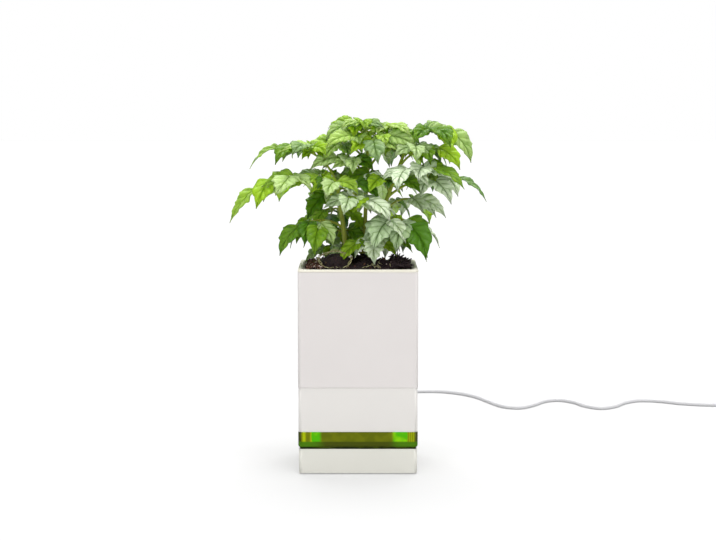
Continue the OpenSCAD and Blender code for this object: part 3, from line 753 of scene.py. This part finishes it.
def leaf_material(name, deep, fresh, gloss, coat, through):
    """Blade colour follows the veins, which run on the blade's own map, with painted shade in
    their creases. Many blades carry a painted pale sheen on the swells between their veins."""
    finish = Finish(name)
    finish.level(Roughness=gloss, Specular_IOR_Level=0.4, Coat_Weight=coat, Coat_Roughness=0.17,
                 Coat_IOR=1.6)
    calc, step_up = pattern_tools(finish)
    blade = finish.nodes.new("ShaderNodeUVMap")
    blade.uv_map = "blade"
    wide, along, _ = split(finish, blade.outputs["UV"])
    across = calc("ABSOLUTE", calc("MULTIPLY_ADD", wide, 2, -1))
    # Side veins leave the midrib and curve towards the tip
    lean = calc("MULTIPLY", calc("POWER", across, vein_curve), vein_lean)
    sweep = calc("SUBTRACT", calc("MULTIPLY", along, vein_count), lean)
    saw = calc("FRACT", calc("ADD", sweep, 4))
    crest = calc("ABSOLUTE", calc("MULTIPLY_ADD", saw, 2, -1))
    side_vein = calc("MULTIPLY", step_up(crest, 0.88, 0.99), step_up(across, 1.0, 0.75))
    midrib = step_up(across, 0.06, 0.02)
    veins = calc("MAXIMUM", side_vein, midrib)
    patches = finish.noise(220, detail=4).outputs["Fac"]
    youth = calc("ADD", carried(finish, "youth"), calc("SUBTRACT", patches, 0.46))
    green = finish.mix(youth, deep, fresh)
    # Painted sheen: pale mint between the veins, in soft patches
    swell = calc("SUBTRACT", 1, crest)
    between = calc("MULTIPLY", step_up(swell, -0.35, 0.3), step_up(across, -0.07, 0.1))
    sheen_between_veins = calc("MULTIPLY", carried(finish, "sheen_paint"), between)
    sheen_patches = calc("MULTIPLY", sheen_between_veins, step_up(patches, 0.0, 0.5))
    sheened = finish.mix(sheen_patches, green, srgb(236, 252, 216))
    # Painted shade in the creases along the veins
    creased = finish.mix(calc("MULTIPLY", veins, 0.24), sheened, deep)
    dry_tip = calc("MULTIPLY", step_up(along, 0.94, 1.0), 0.7)
    colour = finish.mix(dry_tip, creased, srgb(88, 80, 48))
    finish.colour(colour)
    puff = calc("MULTIPLY", swell, step_up(across, 0.0, 0.3))
    height = calc("SUBTRACT", calc("POWER", puff, 0.6), calc("MULTIPLY", midrib, 1.2))
    finish.bump(height, 1.0, 0.0009)
    # Less light passes through the blade where the painted sheen lies
    share = calc("MULTIPLY", calc("MULTIPLY_ADD", sheen_patches, -0.75, 1), through)
    let_through(finish, finish.mix(0.5, colour, srgb(176, 206, 30)), share)
    return finish.material


leaf_top = leaf_material("leaf_top", srgb(58, 126, 0), srgb(212, 248, 30), 0.36, 1.0, 0.42)
leaf_under = leaf_material("leaf_under", srgb(92, 148, 20), srgb(190, 228, 44), 0.5, 0.1, 0.44)

# Stem, height up it, azimuth, length, elevation at its foot and at its tip, size of its
# leaflets, and how far they droop
leaves = [
    (0, 22, 208, 31, 36, -30, 0.95, -45),
    (1, 10, -88, 20, 50, -20, 0.85, -45),
    (0, 28, 104, 31, 36, -36, 0.9, -45),
    (0, 35, 180, 60, 60, -40, 1.1, -28),
    (0, 41, -98, 18, 60, -1, 0.9, -50),
    (0, 31, -48, 27, 50, -12, 0.95, -45),
    (0, 44.5, 172, 50, 80, -12, 1, -50),
    (0, 38.5, 110, 34, 62, -10, 0.85, -40),
    (2, 51, 208, 25, 62, 2, 0.85, -50),
    (1, 22, -50, 28, 34, -26, 1.1, -50),
    (1, 12, 40, 32, 34, -30, 0.82, -42),
    (1, 40, 4, 46, 42, -14, 1, -50),
    (1, 47, -36, 34, 48, -10, 1.05, -40),
    (1, 42, -108, 21, 64, -4, 0.8, -45),
    (1, 30, 50, 36, 40, -20, 0.95, -50),
    (1, 63, 0, 38, 80, -25, 1, -62),
    (2, 14, 88, 32, 35, -35, 0.85, -50),
    (2, 40, 76, 42, 48, -28, 0.95, -45),
    (2, 35, 136, 42, 44, -28, 0.95, -45),
    (2, 60, 158, 30, 58, -3, 0.82, -50),
    (2, 73, 200, 15, 72, 6, 0.85, -65),
    (2, 64, -80, 24, 66, -14, 0.95, -50),
    (2, 62, 64, 24, 79, -6, 0.72, -45),
    (2, 68, 12, 24, 74, -9, 0.85, -60),
    (2, 54, 48, 42, 58, -20, 0.95, -50),
    (0, 13.5, 103, 23, 50, -25, 0.85, -61),
    (2, 5, 178, 24, 38, -19, 0.69, -31),
    (1, 18.5, 89, 28, 39, -20, 0.7, -13),
    (1, 56.5, -30, 32, 59, -9, 0.85, -67)]
leaflet_l = 23
leaflet_ratio = 0.6
blade_thick = 0.0003
stalk_r = 0.8


def sin_of(degrees):
    return math.sin(math.radians(degrees))


def cos_of(degrees):
    return math.cos(math.radians(degrees))


def heading(azimuth, elevation):
    level = cos_of(elevation)
    return Vector((level * cos_of(azimuth), level * sin_of(azimuth), sin_of(elevation)))


def arc_point(foot, azimuth, start, end, length, share):
    """Point along an arc whose elevation goes from start to end."""
    bend = math.radians(end - start)
    now = start + (end - start) * share
    level = length / bend * (sin_of(now) - sin_of(start))
    rise = length / bend * (cos_of(start) - cos_of(now))
    return foot + Vector((level * cos_of(azimuth), level * sin_of(azimuth), rise))


def stem_point(stem, height):
    for low, high in zip(stem, stem[1:]):
        if height < high[2] or high is stem[-1]:
            share = (height - low[2]) / (high[2] - low[2])
            return Vector(low).lerp(Vector(high), share)


def growth(k):
    """Uneven growth, from -1 to 1."""
    return sin_of(137.5 * k * k + 61 * k)


# Half width along the blade, as a share of the widest
outline = [(0, 0.05), (0.04, 0.4), (0.1, 0.74), (0.2, 0.96), (0.32, 1.0), (0.44, 0.92),
           (0.56, 0.76), (0.68, 0.54), (0.78, 0.34), (0.87, 0.16), (0.94, 0.06), (1, 0.012)]
# Degrees that blades turn to face the front, and by which they differ
face_turn = 30
turn_spread = 14
blade_columns = 8


def half_width(share, lobes, depth):
    """Rounded foot, full belly, pointed lobes in the outer half and a long drip tip."""
    for (a, low), (b, high) in zip(outline, outline[1:]):
        if share <= b:
            width = low + (high - low) * (share - a) / (b - a)
            break
    if 0.34 < share < 0.86:
        width *= 1 + depth * ((share - 0.34) / 0.52 * lobes % 1 - 0.45)
    return width


def leaflet(bm, foot, azimuth, start, end, length, number, rows=26, fold=0.42, wave=0.1):
    """One thin lobed blade that follows an arc, folded along its midrib."""
    youth, sheen_paint = bm.verts.layers.float["youth"], bm.verts.layers.float["sheen_paint"]
    blade = bm.loops.layers.uv["blade"]
    # Short blades are the young ones, and blades near the top are fresher
    tint = 0.18 + 0.5 * growth(3 * number + 1) + 0.005 * foot.z + max(0, 0.12 * (14 - length))
    # Blades below the crown and on the lit right carry the most painted sheen
    lit = min(1, max(0.45, (foot.x + 34) / 40)) * min(1, max(0.3, (78 - foot.z) / 16))
    painted_sheen = lit * min(1, max(0, 0.5 + 1.1 * growth(23 * number + 4)))
    roll = turn_spread * growth(number) - face_turn * cos_of(azimuth)
    curl = 16 * growth(5 * number + 2)
    lobes = [1.5 + 0.5 * round(1 + growth(11 * number + side)) for side in (0, 1)]
    depth = 0.36 + 0.12 * growth(13 * number)
    swing = 0.12 * growth(17 * number)
    broad = leaflet_ratio * length / 2 * (1 + 0.08 * growth(19 * number))
    level = Vector((-sin_of(azimuth), cos_of(azimuth), 0))
    stations = []
    for row in range(rows + 1):
        t = row / rows
        rise = heading(azimuth, start + (end - start) * t + 90)
        turn = roll + curl * t * t
        side = level * cos_of(turn) - rise * sin_of(turn)
        up = rise * cos_of(turn) + level * sin_of(turn)
        middle = arc_point(foot, azimuth, start, end, length, t)
        middle += side * (swing * broad * math.sin(math.pi * t))
        halves = [broad * half_width(t, lobes[k], depth) for k in (0, 1)]
        ripple = wave * sin_of(360 * (2.3 * t + 0.5 * growth(number)))
        stations.append((middle, side, up, halves, ripple))
    verts = bmesh.ops.create_grid(bm, x_segments=blade_columns, y_segments=rows, size=0.5)["verts"]
    for face in {f for v in verts for f in v.link_faces}:
        for loop in face.loops:
            loop[blade].uv = (loop.vert.co.x + 0.5, loop.vert.co.y + 0.5)
    for vert in verts:
        u = 2 * vert.co.x
        middle, side, up, halves, ripple = stations[round((vert.co.y + 0.5) * rows)]
        half = halves[0] if u < 0 else halves[1]
        # Swells between the side veins, on the same sweep as the blade's colour
        t = vert.co.y + 0.5
        sweep = vein_count * t - vein_lean * abs(u) ** vein_curve + 4
        swell = 1 - abs(2 * (sweep % 1) - 1)
        lift = fold * abs(u) - 0.7 * fold * u * u + ripple * u * abs(u)
        lift += 0.13 * swell * min(1, 3 * abs(u))
        vert.co = middle + side * (half * u) + up * (half * lift)
        vert[youth] = tint
        vert[sheen_paint] = painted_sheen


def compound_leaf(bm, stalks, i):
    """Stalk with one leaflet at its end, a pair near it, and a branch of three each side."""
    number, height, azimuth, length, start, end, size, droop = leaves[i]
    foot = stem_point(stems[number], height)
    size *= leaflet_l

    def on_stalk(share):
        return arc_point(foot, azimuth, start, end, length, share)

    shares = [k / 10 for k in range(11)]
    stalk(stalks, [on_stalk(t) for t in shares], [stalk_r * (1 - 0.45 * t) for t in shares])
    leaflet(bm, on_stalk(0.98), azimuth + 8 * growth(i), end, end + droop, size, 9 * i)
    for side in (-1, 1):
        k = 7 * i + 3 * side
        leaflet(bm, on_stalk(0.78 + 0.03 * growth(k)), azimuth + (60 + 8 * growth(k + 1)) * side,
                start + (end - start) * 0.8, end + droop + 10 * growth(k + 2), 0.92 * size,
                9 * i + side + 2)
        at = on_stalk(0.5)
        out = azimuth + (64 + 8 * growth(k + 3)) * side
        rise = (start + end) / 2 + 8 * growth(k + 4)
        reach = 0.55 * size

        def on_side(share):
            return arc_point(at, out, rise, rise - 30, reach, share)

        stalk(stalks, [on_side(t / 4) for t in range(5)], [0.5, 0.48, 0.45, 0.42, 0.4], 6)
        leaflet(bm, on_side(0.96), out + 6 * growth(k + 5), rise - 25, rise - 30 + droop,
                0.95 * size, 9 * i + side + 4)
        for turn in (-1, 1):
            leaflet(bm, on_side(0.6), out + (62 + 6 * growth(k + turn)) * turn, rise - 20,
                    rise - 30 + droop + 8 * growth(k + 6 + turn), 0.8 * size,
                    9 * i + 2 * side + turn + 6)


def young_shoot(bm, stalks, at, count, size, number):
    """Tuft of small curled leaflets that have only just opened."""
    for k in range(count):
        azimuth = 360 * k / count + 30 * growth(number + k)
        start = 55 + 25 * growth(number + 2 * k)
        reach = size * (0.55 + 0.25 * growth(number + 3 * k))
        path = [arc_point(at, azimuth, start, start - 40, reach, t / 3) for t in range(4)]
        stalk(stalks, path, [0.35, 0.32, 0.28, 0.25], 5)
        leaflet(bm, path[-1], azimuth + 20 * growth(k), start - 30, -75 + 20 * growth(number + k),
                size, number + k, rows=16, fold=0.8, wave=0.3)


def blade_sheet():
    """Empty sheet with the layers that leaflets write to."""
    bm = bmesh.new()
    bm.verts.layers.float.new("youth")
    bm.verts.layers.float.new("sheen_paint")
    bm.loops.layers.uv.new("blade")
    return bm


def leaf_piece(bm, name, replaced=()):
    """Blades are open sheets: each gets its thickness and its matt underside here."""
    bmesh.ops.scale(bm, verts=bm.verts, vec=(mm, mm, mm))
    bmesh.ops.translate(bm, verts=bm.verts, vec=plant_foot)
    leaf = link_mesh(bm, name, leaf_top, "pot", replaced)
    leaf.data.shade_smooth()
    leaf.data.materials.append(leaf_under)
    thick = leaf.modifiers.new("thickness", "SOLIDIFY")
    thick.thickness = blade_thick
    thick.offset = -1
    thick.material_offset = 1


stalks = bmesh.new()
for i in range(len(leaves)):
    bm = blade_sheet()
    compound_leaf(bm, stalks, i)
    leaf_piece(bm, f"compound_leaf_{i + 1}", [f"leaf_{i + 1}"])
# Young shoots: leaf that each one grows on, share along its stalk, leaflets, and size
shoots = [(6, 0.55, 9, 9), (3, 0.3, 7, 8), (15, 0.12, 8, 9), (11, 0.6, 8, 9), (9, 0.35, 6, 7),
          (20, 0.3, 8, 9), (23, 0.4, 7, 8), (7, 0.5, 7, 8)]
bm = blade_sheet()
for i, share, count, size in shoots:
    number, height, azimuth, length, start, end = leaves[i][:6]
    at = arc_point(stem_point(stems[number], height), azimuth, start, end, length, share)
    young_shoot(bm, stalks, at, count, size, 40 * i)
leaf_piece(bm, "young_shoots")
plant_piece(stalks, "leaf_stalks", stem_green, [])


# ---- floor and light ----
# White table that takes a soft shadow, in an even white room, under three broad lights. The
# camera sees the room at full white, and the room lights the planter less than that.
table_half = 8
table_grey = 0.64
table_glow = 0.35
room_light = 0.36
full_white = 1.0


def shader_mix(nodes, links, share, below, above, output):
    """Surface that goes from one shader to another with a share."""
    both = nodes.new("ShaderNodeMixShader")
    links.new(share, both.inputs["Fac"])
    links.new(below, both.inputs[1])
    links.new(above, both.inputs[2])
    links.new(both.outputs["Shader"], nodes[output].inputs["Surface"])


bm = bmesh.new()
bmesh.ops.create_grid(bm, x_segments=1, y_segments=1, size=table_half)
table_mesh = bpy.data.meshes.new("table_top")
bm.to_mesh(table_mesh)
bm.free()
table_top = bpy.data.objects.new("table_top", table_mesh)
scene.collection.objects.link(table_top)
table_white = bpy.data.materials.new("table_white")
table_white.use_nodes = True
nodes, links = table_white.node_tree.nodes, table_white.node_tree.links
shader = nodes["Principled BSDF"]
shader.inputs["Base Color"].default_value = (table_grey, table_grey, table_grey, 1)
shader.inputs["Roughness"].default_value = 0.9
white = nodes.new("ShaderNodeEmission")
ray = nodes.new("ShaderNodeLightPath")
share = nodes.new("ShaderNodeMath")
share.operation = "MULTIPLY"
share.inputs[1].default_value = table_glow
links.new(ray.outputs["Is Camera Ray"], share.inputs[0])
shader_mix(nodes, links, share.outputs["Value"], shader.outputs["BSDF"], white.outputs["Emission"],
           "Material Output")
table_mesh.materials.append(table_white)

world = bpy.data.worlds.new("white_room")
scene.world = world
world.use_nodes = True
nodes, links = world.node_tree.nodes, world.node_tree.links
room = nodes["Background"]
backdrop = nodes.new("ShaderNodeBackground")
for background, strength in ((room, room_light), (backdrop, full_white)):
    background.inputs["Color"].default_value = (1, 1, 1, 1)
    background.inputs["Strength"].default_value = strength
ray = nodes.new("ShaderNodeLightPath")
seen = ray.outputs["Is Camera Ray"]
for kind in ("Is Glossy Ray", "Is Transmission Ray"):
    either = nodes.new("ShaderNodeMath")
    either.operation = "MAXIMUM"
    links.new(seen, either.inputs[0])
    links.new(ray.outputs[kind], either.inputs[1])
    seen = either.outputs["Value"]
shader_mix(nodes, links, seen, room.outputs["Background"], backdrop.outputs["Background"],
           "World Output")

# Light from behind lays the shadow on the table, the one overhead gives the leaves their
# sheen, and the one in front lights the box. Each has a strength, an angle in degrees that
# softens its shadow, and the way towards it.
for name, energy, angle, towards in (("back_light", 2.1, 50, (0.02, 0.6, 1.0)),
                                     ("top_light", 1.5, 30, (0.06, -0.12, 1.0)),
                                     ("front_light", 1.15, 60, (0.05, -0.9, 0.75))):
    lamp_data = bpy.data.lights.new(name, "SUN")
    lamp_data.energy = energy
    lamp_data.angle = math.radians(angle)
    lamp = bpy.data.objects.new(name, lamp_data)
    lamp.rotation_euler = Vector(towards).to_track_quat("Z", "Y").to_euler()
    scene.collection.objects.link(lamp)
